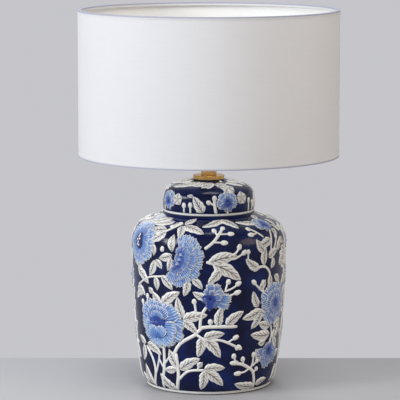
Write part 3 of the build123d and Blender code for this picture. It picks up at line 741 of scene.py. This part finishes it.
# %% Leaves on the jar: foot of the leaf, its tip, and 1 for a toothed edge
leaves = [
    (-25, 264, -23, 238, 1), (-23, 264, -4, 248, 1), (-23, 269, -15, 290, 0), (-29, 275, -34, 264, 0),
    (-36, 249, -49, 231, 1), (-37, 253, -57, 251, 1), (-46, 286, -72, 259, 1), (-37, 276, -56, 261, 1),
    (-46, 228, -45, 210, 0), (13, 286, -6, 263, 1), (14, 287, 26, 257, 1), (48, 268, 28, 276, 1),
    (59, 278, 70, 289, 0), (71, 270, 72, 253, 0), (53, 234, 38, 225, 1), (-28, 219, -28, 246, 0),
    (-28, 214, -40, 207, 0), (-29, 209, -32, 189, 0), (-44, 203, -50, 178, 0), (-43, 204, -37, 191, 0),
    (-66, 186, -51, 165, 1), (-44, 178, -42, 157, 0), (-38, 181, -28, 160, 0), (-38, 135, -47, 155, 0),
    (-38, 136, -22, 158, 1), (-46, 152, -51, 160, 0), (-20, 119, -24, 150, 1), (-20, 116, -1, 124, 1),
    (-20, 114, -9, 95, 1), (-16, 177, -19, 152, 1), (-12, 179, -5, 164, 1), (-1, 203, 21, 214, 0),
    (3, 202, 24, 176, 1), (9, 197, -1, 172, 1), (-1, 150, -12, 159, 1), (7, 107, 10, 137, 1),
    (13, 107, 27, 128, 1), (-6, 89, -9, 58, 1), (-4, 89, 9, 57, 1), (-4, 88, 12, 95, 1),
    (-25, 38, -33, 68, 0), (-24, 37, -7, 56, 1), (-27, 38, -39, 34, 0), (-4, 39, 13, 41, 1),
    (-4, 37, 12, 12, 1), (-4, 36, -7, 5, 1), (-30, 1, -44, 27, 1), (-55, 1, -64, 36, 0),
    (-63, 68, -66, 41, 0), (-57, 71, -41, 57, 1), (-60, 70, -69, 80, 0), (42, 6, 22, 14, 1),
    (44, 8, 57, 15, 1), (40, 132, 35, 157, 1), (43, 127, 26, 116, 1), (43, 123, 34, 99, 1),
    (55, 99, 41, 107, 0), (55, 86, 34, 90, 1), (45, 194, 47, 223, 0), (40, 190, 28, 208, 1),
    (52, 179, 51, 158, 0), (57, 203, 53, 188, 0), (65, 190, 75, 207, 0), (-9, 42, -5, 50, 0),
    (-66, 158, -56, 146, 1), (-66, 150, -70, 138, 0), (72, 30, 66, 8, 1), (80, 60, 90, 84, 1),
    (79, 96, 88, 112, 0), (78, 200, 88, 180, 1), (78, 232, 88, 246, 1), (66, 232, 72, 222, 0),
    (-83, 60, -74, 42, 1), (-82, 100, -90, 122, 1), (-84, 130, -76, 152, 1), (70, 100, 64, 78, 1),
    (60, 78, 68, 60, 0), (-79, 168, -88, 148, 1), (82, 126, 89, 148, 1), (76, 160, 84, 172, 0),
    (-72, 20, -66, 2, 0), (46, 214, 38, 236, 0), (50, 206, 62, 216, 1), (47, 172, 40, 158, 0),
    (58, 176, 66, 164, 0), (49, 118, 40, 128, 0), (66, 46, 74, 56, 0), (47, 46, 40, 66, 1),
    (50, 76, 42, 74, 0), (-77, 276, -88, 262, 1), (84, 272, 90, 256, 0), (62, 214, 68, 232, 1),
    (70, 150, 76, 132, 1), (73, 146, 84, 150, 0), (70, 128, 80, 112, 1), (76, 186, 66, 200, 1),
    (78, 176, 70, 160, 0), (60, 96, 72, 104, 1), (62, 92, 60, 76, 0), (66, 112, 74, 124, 0),
    (80, 44, 92, 50, 1), (79, 30, 88, 16, 1), (77, 22, 70, 34, 0), (81, 76, 72, 88, 1),
    (76, 222, 84, 214, 1), (77, 212, 68, 218, 0), (75, 244, 66, 256, 1), (-83, 20, -92, 34, 1),
    (-84, 44, -94, 58, 0), (-82, 84, -74, 100, 1), (-83, 116, -76, 132, 0), (-70, 196, -60, 188, 0),
    (-88, 244, -94, 226, 1), (-90, 206, -84, 190, 0), (-86, 286, -98, 280, 0),
]

# %% Berries on the jar: foot and top
berries = [
    (20, 55, 20, 64), (28, 49, 28, 58), (24, 48, 16, 48), (27, 31, 20, 30), (38, 54, 38, 63),
    (41, 45, 44, 50), (41, 33, 44, 37), (22, 223, 24, 232), (25, 215, 29, 222), (11, 256, 13, 265),
    (5, 251, 3, 260), (15, 248, 21, 248), (9, 234, 15, 234), (-11, 141, -11, 150), (1, 110, 1, 119),
    (14, 171, 15, 180), (20, 169, 25, 174), (19, 156, 25, 160), (21, 70, 26, 75), (19, 86, 24, 91),
    (37, 168, 33, 175), (44, 165, 44, 174), (36, 252, 32, 258), (37, 244, 31, 244),
    (-53, 142, -53, 151), (-59, 132, -61, 140), (30, 215, 30, 223), (22, 75, 27, 68),
    (-37, 218, -36, 227), (60, 232, 62, 240), (84, 120, 86, 129), (74, 176, 80, 180),
    (-80, 66, -74, 68), (78, 246, 80, 256), (-86, 150, -88, 160), (66, 206, 70, 212),
    (-29, 268, -28, 277), (-34, 258, -34, 266),
]

# %% Lay the branches on the front and on the back
front_and_back = (0, 180)
for side in front_and_back:
    for width, points in stems:
        lay("jar_stems", stem_mould, points, width, turn=side, tall=1.15)
    for a0, s0, a1, s1, toothed in leaves:
        long = hypot(radians(a1 - a0) * jar.reach((s0 + s1) / 2), s1 - s0)
        bend = ((a0 + a1) / 2 - (s1 - s0) * 0.035, (s0 + s1) / 2 + (a1 - a0) * 0.10)
        mould = toothed_leaf if toothed else plain_leaf
        lay("jar_leaves", mould, [(a0, s0), bend, (a1, s1)], 5 + long * 0.27, turn=side, tall=1.25)
    for a0, s0, a1, s1 in berries:
        lay("jar_berries", berry_mould, [(a0, s0), (a1, s1)], 8.6, turn=side)
print({group: len(copies) for group, copies in laid.items()})

# %% [markdown]
# ## The blue flowers
# A peony is built as it grows: a back row of long petals, shorter rows on top of it, each
# raised a little more, and a dark heart. Every petal is given its heading from the flower's
# heart, its length and its width. Blues deepen towards the heart.

# %% Rows of petals
def petals(heart, row, turn, lift, tint, group="jar_petals", wall=jar, mould=wide_petal, start=0.12):
    """row holds (heading in degrees, length, width) of each petal, in mm."""
    a, s = heart
    reach = float(wall.reach(s))
    for i, (heading, length, width) in enumerate(row):
        h = radians(heading)
        steps = [(a + degrees(cos(h) * length * k / reach), s + sin(h) * length * k)
                 for k in (start, 1.0)]
        shade = tint + 0.10 * sin(i * 2.4 + a)
        lay(group, mould, steps, width, wall, lift + 0.12 * (i % 2), tint=shade, turn=turn)


def pile(a, s, turn, *layers, group="jar_petals"):
    """Each layer, from the back to the front, is (mm above the heart, lift, tint, its petals)."""
    for above, lift, tint, row in layers:
        petals((a, s + above), row, turn, lift, tint, group)


def fan(first, last, count, length, width, swing):
    """Spread petals. Length, width and heading swing a little, so none is like its neighbour."""
    return [(first + (last - first) * i / max(1, count - 1) + 40 * swing * sin(i * 3.7),
             length * (1 + swing * sin(i * 2.1)), width * (1 + swing * cos(i * 2.9)))
            for i in range(count)]


def knob(a, s, turn, half, width, lift, tall, tint, group="jar_petals", wall=jar):
    """A low boss that reaches half degrees to either side of a."""
    lay(group, boss, [(a - half, s), (a + half, s)], width, wall, lift, tall, tint, turn)


# %% The side-on peony
def side_peony(a, s, turn):
    """Seen from the side, its petals spring from a slanting line and fan out to the right."""
    layers = ((0.0, 9, 34, 23, 0.36), (0.9, 8, 25, 18, 0.48), (1.7, 6, 15, 13, 0.58))
    for lift, count, length, width, tint in layers:
        for i in range(count):
            share = i / (count - 1)
            heart = (a + 3.0 - 6.0 * share, s + 9 - 19 * share)
            long = length * (0.90 + 0.16 * sin(pi * share) + 0.05 * sin(3 * i))
            row = [(88 - 196 * share, long, width)]
            petals(heart, row, turn, lift + 0.12 * (i % 2), tint + 0.06 * sin(5 * i))
    short = ((2.2, 9, 136, 13), (0.6, 2, 172, 10), (-1.2, -5, 196, 11), (-2.6, -10, 232, 14))
    for da, ds, heading, long in short:
        petals((a + da, s + ds), [(heading, long, 12)], turn, 0.9, 0.66)
    for da, ds in ((1.4, 7), (0.2, 0), (-1.4, -7)):
        knob(a + da, s + ds, turn, 2.4, 10, 1.3, 0.6, 0.72)


# %% The bowl peony
def bowl_peony(a, s, turn):
    """Petals all round, a dark bowl in the middle, and wide front petals hanging from its lip."""
    outer = [(186, 36, 24), (160, 38, 25), (126, 34, 27), (92, 32, 27), (56, 33, 26),
             (24, 42, 26), (-6, 49, 28), (-30, 52, 30), (-56, 47, 28), (-82, 45, 27),
             (-108, 42, 26), (-134, 40, 25), (-162, 38, 24)]
    back = [(158, 25, 19), (118, 24, 20), (78, 23, 20), (40, 26, 18)]
    inner = [(132, 15, 13), (92, 14, 13), (50, 15, 13)]
    hanging = [(-4, 36, 26), (-174, 27, 22), (-40, 35, 27), (-142, 29, 24), (-92, 29, 27)]
    upturned = [(90, 19, 27), (56, 24, 17), (124, 24, 17)]
    pile(a, s, turn, (0, 0.0, 0.40, outer), (0, 0.8, 0.50, back),
         (0, 1.3, 0.42, inner), (-12, 1.0, 0.24, hanging))
    knob(a, s - 4, turn, 8.4, 22, 1.7, 0.6, 1.0)
    pile(a, s, turn, (-30, 2.2, 0.26, upturned))


# %% The open peony, with seeds in its heart
def open_peony(a, s, turn):
    pile(a, s, turn, (0, 0.0, 0.34, fan(0, 324, 10, 38, 26, 0.05)),
         (0, 0.8, 0.44, fan(20, 330, 8, 27, 20, 0.07)))
    knob(a, s, turn, 5.4, 25, 1.9, 0.6, 1.3)
    for da, ds in ((0, 6), (-1.4, 2), (1.3, 3), (0, -2), (1.0, -6), (-1.1, -5), (0.4, 9)):
        knob(a + da, s + ds, turn, 0.9, 3.6, 2.6, 0.5, 0.0, "jar_seeds")


# %% The round peonies near the panel's edge
def round_peonies(turn):
    pile(59, 134, turn, (0, 0.0, 0.52, fan(20, 346, 11, 34, 23, 0.08)),
         (0, 0.8, 0.60, fan(4, 320, 8, 24, 18, 0.06)), (0, 1.4, 0.68, fan(-10, 290, 6, 14, 13, 0.06)))
    knob(59, 134, turn, 2, 8, 1.3, 0.6, 1.0)
    pile(55, 61, turn, (0, 0.0, 0.56, fan(-20, -176, 8, 27, 13, 0.10)),
         (0, 0.6, 0.66, fan(-30, -160, 6, 18, 11, 0.08)), (0, 0.4, 0.74, fan(20, 160, 5, 13, 10, 0.10)))


# %% The orchid-like flower
def side_flower(a, s, turn):
    """Upright petals, one broad petal to the right, small dark ones below."""
    upright = [(110, 17, 11), (88, 25, 13), (60, 26, 13)]
    broad = [(28, 23, 13), (-2, 32, 16), (-24, 31, 15)]
    low = [(168, 14, 10), (198, 13, 9), (-58, 17, 12), (-94, 18, 12)]
    front = [(74, 14, 9), (14, 18, 11)]
    group = "jar_florets"
    pile(a, s, turn, (0, 0.0, 0.62, upright), (0, 0.3, 0.44, broad), group=group)
    petals((a, s), low, turn, 0.7, 0.90, group, mould=pointed_petal)
    pile(a, s, turn, (0, 1.0, 0.66, front), group=group)


# %% The small flowers
def small_flower(a, s, turn, size=1.0, wall=jar, group="jar_florets"):
    """A loose flower: light petals that stand up, darker ones below, and a dark heart."""
    for lift, count, length, width, tint in ((0.0, 5, 17, 14, 0.34), (0.7, 3, 11, 10, 0.50)):
        row = fan(-4 + lift * 50, 186 - lift * 50, count, length * size, width * size, 0.05)
        petals((a, s), row, turn, lift, tint, group, wall)
    low = ((-36, 15, 10), (-70, 16, 11), (-104, 15, 11), (-142, 16, 10))
    low = [(heading, length * size, width * size) for heading, length, width in low]
    petals((a, s), low, turn, 0.4, 0.64, group, wall, pointed_petal)
    half = degrees(2.4 * size / float(wall.reach(s)))
    knob(a, s - 1, turn, half, 4.6 * size, 1.1, 0.6, 1.0, group, wall)


# %% White blossoms
def blossom(a, s, turn, size=1.0, wall=jar, group="jar_blossoms"):
    """Five white petals and a small boss."""
    row = [(90 + 72 * i, 8.4 * size, 7.4 * size) for i in range(5)]
    petals((a, s), row, turn, 0.0, 0.0, group, wall, round_petal, 0.10)
    half = degrees(1.5 * size / float(wall.reach(s)))
    knob(a, s, turn, half, 3.0 * size, 0.9, 0.4, 0.0, group, wall)


# %% Set the flowers on the jar
for side in front_and_back:
    open_peony(-63, 228, side)
    side_peony(-21.5, 207, side)
    bowl_peony(-43, 112, side)
    side_flower(1, 149, side)
    round_peonies(side)
    small_flower(55, 261, side, 1.05)
    for a, s, size in ((-63, 152, 1.1), (62, 243, 0.8), (-84, 186, 0.9), (90, 66, 0.9)):
        blossom(a, s, side, size)
    for a, s, size in ((93, 170, 1.15), (88, 222, 0.8), (-90, 84, 1.1)):
        small_flower(a, s, side, size)
print({group: len(copies) for group, copies in laid.items()})

# %% [markdown]
# ## The lid
# The lid repeats the jar's motifs at a smaller size, standing up from its rim band.

# %% Lay the lid's pattern, twice round
lid_stems = [
    (3.0, [(-33, 4), (-33, 16)]), (3.0, [(-24, 4), (-24, 17)]), (4.4, [(9, 4), (7, 18), (7, 28)]),
    (2.8, [(8, 16), (1, 21)]), (3.0, [(24, 3), (24, 12)]),
    (3.4, [(27, 32), (29, 44), (26, 58), (12, 64)]), (3.0, [(12, 64), (-16, 62), (-44, 66), (-72, 60)]),
    (2.6, [(-16, 62), (-30, 54)]), (2.6, [(26, 58), (44, 64)]), (3.0, [(60, 4), (60, 20)]),
    (3.0, [(-74, 4), (-72, 20)]), (2.8, [(70, 4), (70, 16)]),
]
lid_leaves = [
    (-7, 5, -20, 30, 15, 1), (-20, 30, -29, 31, 5, 0), (76, 5, 82, 30, 12, 1),
    (-30, 66, -66, 44, 17, 1), (-24, 72, -46, 50, 15, 0), (-2, 68, -30, 54, 17, 1),
    (8, 70, -12, 48, 14, 0), (4, 66, -2, 46, 12, 1), (-60, 76, -92, 54, 16, 1), (48, 68, 66, 46, 14, 1),
    (62, 74, 92, 58, 15, 0), (-80, 70, -104, 46, 13, 0), (88, 44, 98, 24, 11, 0),
]
lid_berries = [
    (-33, 12, -33, 21), (-24, 13, -24, 22), (7, 24, 7, 33), (2, 20, -4, 23), (60, 17, 60, 26),
    (70, 13, 70, 21), (40, 74, 32, 74), (-50, 84, -60, 84),
]
lid_blossoms = [(-43, 24, 1.1), (46, 26, 1.2), (29, 45, 1.35), (23, 58, 1.15), (88, 12, 0.8)]
for side in front_and_back:
    for width, points in lid_stems:
        lay("lid_stems", stem_mould, points, width, lid, turn=side)
    for a0, s0, a1, s1, width, toothed in lid_leaves:
        mould = toothed_leaf if toothed else plain_leaf
        lay("lid_leaves", mould, [(a0, s0), (a1, s1)], width, lid, turn=side, tall=1.2)
    for a0, s0, a1, s1 in lid_berries:
        lay("lid_berries", berry_mould, [(a0, s0), (a1, s1)], 8.2, lid, turn=side)
    for a, size in ((-61, 0.95), (24, 1.0)):
        small_flower(a, 21, side, size, lid, "lid_florets")
    for a, s, size in lid_blossoms:
        blossom(a, s, side, size, lid, "lid_blossoms")
print({group: len(copies) for group, copies in laid.items() if group.startswith("lid")})

# %% [markdown]
# ## Finishes of the raised work
# The leaves are white slip with brown veins drawn in with a fine brush, which leave a white
# outline round each, and a grey painted shade lies down the middle of each leaf. The petals are brushed
# in blues, with fine pale strokes that fan out from the foot and a cream line at the rim. Both read the
# mould's own map, so veins and the painted shade follow the leaf.
# A thin line of cobalt runs round the foot of every shape.

# %% White leaves with brown veins
cobalt_line = (0.020, 0.045, 0.22)


def at_foot(finish):
    """1 at the foot of a raised shape, where the rim's number climbs from 1 to 2."""
    return finish.stored("rim").rise(1.10, 1.75)


def leaf_finish(name, veins):
    """veins is 1 for a leaf, and 0 for a stem, which has none."""
    leaf = Finish(name)
    along, across, _ = leaf.split(leaf.own_map("pressed"))
    off = abs(across - 0.5) * 2
    wobble = leaf.noise(220, 2)
    rib = (1 - off.rise(0.05, 0.15)) * along.rise(0.02, 0.10) * (1 - along.rise(0.84, 0.97))
    side = abs((along * 5.5 - off * 1.6 + wobble * 0.7).part() - 0.5)
    side = (1 - side.rise(0.06, 0.17)) * (1 - off.rise(0.58, 0.86))
    # Painted shade: a grey darkening down the middle of each leaf, where its hollow would lie in shade.
    painted_middle_shade = (1 - off.rise(0.30, 0.75)) * along.rise(0.05, 0.2) * (1 - along.rise(0.75, 0.95))
    line = rib.most(side * 0.88) * veins
    worn = leaf.noise(150, 3)
    body = leaf.mix(worn, (0.80, 0.795, 0.76), (0.93, 0.915, 0.86))
    body = leaf.mix(painted_middle_shade * 0.26 * veins, body, (0.46, 0.47, 0.50))
    brown = leaf.mix(leaf.noise(40, 2).rise(0.4, 0.6), (0.16, 0.105, 0.06), (0.05, 0.05, 0.075))
    body = leaf.mix(line, body, brown)
    leaf.surface(
        Base_Color=leaf.mix(at_foot(leaf), body, cobalt_line),
        Roughness=0.22 + worn * 0.14,
        Normal=leaf.bump(wobble * 0.3 - line, 0.0004, 0.8),
    )
    return leaf


leaf_white = leaf_finish("leaf_white", 1.0)
stem_white = leaf_finish("stem_white", 0.0)

# %% Blue petals with pale strokes and a beaded rim
def petal_finish(name, edge_at):
    """edge_at says where along a petal its cream rim starts. A small petal needs a wider rim."""
    petal = Finish(name)
    along, across, _ = petal.split(petal.own_map("pressed"))
    tint = petal.stored("tint")
    off = abs(across - 0.5) * 2
    brushed = petal.noise(110, 3)
    pale = 1 - tint.rise(0.72, 0.90)
    depth_of_blue = tint + (brushed - 0.5) * 0.9 + 0.42 - along * 0.52
    blue = petal.ramp(depth_of_blue, [
        (0.05, (0.27, 0.42, 0.70)), (0.38, (0.115, 0.25, 0.57)),
        (0.70, (0.043, 0.120, 0.42)), (1.0, (0.014, 0.042, 0.25))])
    strokes = abs((across * 6 + brushed * 0.7).part() - 0.5)
    strokes = (1 - strokes.rise(0.09, 0.24)) * along.rise(0.25, 0.45) * (1 - tint.rise(0.90, 0.98))
    ticks = strokes * along.rise(0.70, 0.80) * pale
    beads = petal.noise(520, 1).rise(0.42, 0.56)
    side_at = 1 - 2.2 * (1 - edge_at)
    sides = off.rise(side_at, side_at + 0.07) * along.rise(0.3, 0.5)
    edge = along.rise(edge_at, edge_at + 0.03).most(sides) * (0.25 + pale * 0.75)
    inner = tint.rise(0.40, 0.54) * pale
    colour = petal.mix(strokes * (0.38 + inner * 0.26), blue, (0.50, 0.61, 0.82))
    colour = petal.mix(ticks * (0.62 + inner * 0.30), colour, (0.84, 0.87, 0.90))
    colour = petal.mix(tint.rise(1.05, 1.20), colour, (0.007, 0.018, 0.115))
    colour = petal.mix(edge * (0.45 + beads * 0.55), colour, (0.82, 0.81, 0.74))
    petal.surface(
        Base_Color=petal.mix(at_foot(petal), colour, cobalt_line),
        Roughness=0.24 + brushed * 0.14,
        Normal=petal.bump(edge * beads + strokes * 0.5 + brushed * 0.4, 0.0005, 0.8),
    )
    return petal


petal_blue = petal_finish("petal_blue", 0.945)
floret_blue = petal_finish("floret_blue", 0.89)
finish_of = {"leaves": leaf_white, "blossoms": leaf_white, "petals": petal_blue, "florets": floret_blue}

# %% Join each group, dress it and let it ride on the lamp
def gather(group, finish):
    copies = laid[group]
    start_clean()
    for copy in copies:
        copy.select_set(True)
    bpy.context.view_layer.objects.active = copies[0]
    bpy.ops.object.join()
    whole = bpy.context.object
    whole.name = group
    whole.data.materials.clear()
    whole.data.materials.append(finish.material)
    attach(whole, "root")
    triangles = sum(len(face.vertices) - 2 for face in whole.data.polygons)
    print(group, len(copies), "copies,", triangles, "triangles")


for mould in moulds:
    bpy.data.objects.remove(mould)
for group in sorted(laid):
    gather(group, finish_of.get(group.split("_")[1], stem_white))

# %% [markdown]
# ## Floor and light
# A pale grey table and a pale room keep the eye on the lamp. One large soft light at the left
# front makes the highlights on the glaze, weaker ones at the right and behind fill the shadows,
# and one above reaches into the shade. The walls' grey is only what the camera and reflections
# see: the light that the room sends out has a strength of its own.

# %% The floor
start_clean()
bpy.ops.mesh.primitive_plane_add(size=1, location=(0, 0, 0))
floor = bpy.context.object
floor.name = "floor"
edit_mode()
pick_all()
table_size = (6, 1.68, 1)
table_place = (0, -0.66, -0.0002)
bpy.ops.transform.resize(value=table_size)
bpy.ops.transform.translate(value=table_place)
edit_mode(False)
table_top = Finish("table_top")
grain = table_top.noise(9, 4, stretch=(1, 14, 1))
table_top.surface(
    Base_Color=table_top.mix(grain, (0.36, 0.36, 0.375), (0.42, 0.42, 0.435)),
    Roughness=0.55 + grain * 0.1,
)
floor.data.materials.append(table_top.material)


# %% The lamps
def soft_lamp(name, place, aim, size, power, colour):
    light = bpy.data.lights.new(name, "AREA")
    light.shape, light.size, light.energy, light.color = "DISK", size, power, colour
    stand = bpy.data.objects.new(name, light)
    scene.collection.objects.link(stand)
    stand.location = place
    stand.rotation_euler = (Vector(aim) - Vector(place)).to_track_quat("-Z", "Y").to_euler()


soft_lamp("left_window", (-2.25, -1.15, 1.25), (0, 0, 0.30), 1.2, 46, (0.97, 0.985, 1.0))
soft_lamp("right_fill", (2.2, -1.0, 1.1), (0, 0, 0.50), 1.2, 11, (1.0, 0.76, 0.44))
soft_lamp("back_fill", (-0.7, 2.4, 1.3), (0, 0, 0.3), 1.4, 12, (0.98, 0.99, 1.0))
soft_lamp("ceiling", (0.15, -0.85, 2.2), (0, 0, 0.5), 1.2, 23, (1.0, 1.0, 1.0))

# %% The room
room = bpy.data.worlds.new("room")
scene.world = room
room.use_nodes = True
tree = room.node_tree
kinds = ("LightPath", "Math", "Math", "Background", "MixShader")
path, seen, shiny, wall_paint, both = [tree.nodes.new("ShaderNode" + kind) for kind in kinds]
seen.operation = shiny.operation = "MAXIMUM"
lit = tree.nodes["Background"]
lit.inputs["Color"].default_value = (0.93, 0.95, 1.0, 1)
lit.inputs["Strength"].default_value = 0.41
wall_paint.inputs["Color"].default_value = (0.56, 0.56, 0.59, 1)
wall_paint.inputs["Strength"].default_value = 1.0
for source, target in (
    (path.outputs["Is Glossy Ray"], shiny.inputs[0]),
    (path.outputs["Is Transmission Ray"], shiny.inputs[1]),
    (path.outputs["Is Camera Ray"], seen.inputs[0]),
    (shiny.outputs[0], seen.inputs[1]),
    (seen.outputs[0], both.inputs[0]),
    (lit.outputs[0], both.inputs[1]),
    (wall_paint.outputs[0], both.inputs[2]),
    (both.outputs[0], tree.nodes["World Output"].inputs["Surface"]),
):
    tree.links.new(source, target)
scene.view_settings.view_transform = "Standard"
